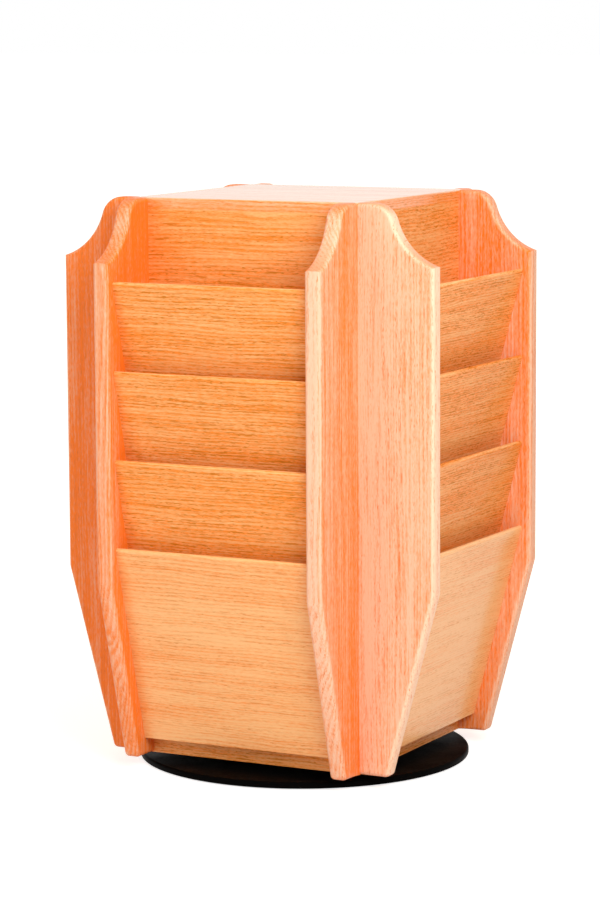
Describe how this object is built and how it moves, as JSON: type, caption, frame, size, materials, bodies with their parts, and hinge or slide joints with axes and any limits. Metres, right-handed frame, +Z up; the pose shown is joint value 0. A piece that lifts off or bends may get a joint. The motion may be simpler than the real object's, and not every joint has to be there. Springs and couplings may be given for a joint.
{
  "type": "revolving periodical display rack",
  "caption": "Countertop oak display rack that revolves on a round black base, with four bays of slanting pockets for periodicals between ogee-shouldered side panels.",
  "frame": {"origin": "centre of the footprint, at the height of the table under the rubber pads", "axes": "+Z up along the axis the rack turns about; the front bay faces -Y and the right bay faces +X"},
  "size_m": [0.4498, 0.4498, 0.631],
  "materials": {
    "solid_oak": "satin lacquer",
    "oak_veneer": "satin lacquer",
    "plywood": "satin lacquer",
    "black_gloss": "high gloss laminate",
    "pad_rubber": "matte",
    "zinc_steel": "bright zinc plate",
    "ball_steel": "polished"
  },
  "bodies": {
    "base": {"base_disc": "black_gloss", "base_pads": "pad_rubber", "bearing_lower_plate": "zinc_steel"},
    "ball_ring": {"bearing_ball_ring": "ball_steel"},
    "rack": {"bearing_upper_plate": "zinc_steel", "bottom_board": "plywood", "top_board": "oak_veneer", "front_bay_back": "oak_veneer", "front_bay_left_panel": "solid_oak", "front_bay_right_panel": "solid_oak", "front_bay_board_1": "oak_veneer", "front_bay_floor_1": "plywood", "front_bay_board_2": "oak_veneer", "front_bay_floor_2": "plywood", "front_bay_board_3": "oak_veneer", "front_bay_floor_3": "plywood", "front_bay_board_4": "oak_veneer", "front_bay_floor_4": "plywood", "right_bay_back": "oak_veneer", "right_bay_left_panel": "solid_oak", "right_bay_right_panel": "solid_oak", "right_bay_board_1": "oak_veneer", "right_bay_floor_1": "plywood", "right_bay_board_2": "oak_veneer", "right_bay_floor_2": "plywood", "right_bay_board_3": "oak_veneer", "right_bay_floor_3": "plywood", "right_bay_board_4": "oak_veneer", "right_bay_floor_4": "plywood", "rear_bay_back": "oak_veneer", "rear_bay_left_panel": "solid_oak", "rear_bay_right_panel": "solid_oak", "rear_bay_board_1": "oak_veneer", "rear_bay_floor_1": "plywood", "rear_bay_board_2": "oak_veneer", "rear_bay_floor_2": "plywood", "rear_bay_board_3": "oak_veneer", "rear_bay_floor_3": "plywood", "rear_bay_board_4": "oak_veneer", "rear_bay_floor_4": "plywood", "left_bay_back": "oak_veneer", "left_bay_left_panel": "solid_oak", "left_bay_right_panel": "solid_oak", "left_bay_board_1": "oak_veneer", "left_bay_floor_1": "plywood", "left_bay_board_2": "oak_veneer", "left_bay_floor_2": "plywood", "left_bay_board_3": "oak_veneer", "left_bay_floor_3": "plywood", "left_bay_board_4": "oak_veneer", "left_bay_floor_4": "plywood"}
  },
  "joints": [
    {"name": "rack_spin", "type": "hinge", "parent": "base", "child": "rack", "pos_m": [0, 0, 0.0125], "axis": [0, 0, 1], "continuous": true},
    {"name": "ball_ring_spin", "type": "hinge", "parent": "base", "child": "ball_ring", "pos_m": [0, 0, 0.0125], "axis": [0, 0, 1], "continuous": true}
  ],
  "couplings": [
    {"joint": "ball_ring_spin", "follows": "rack_spin", "ratio": 0.5}
  ]
}
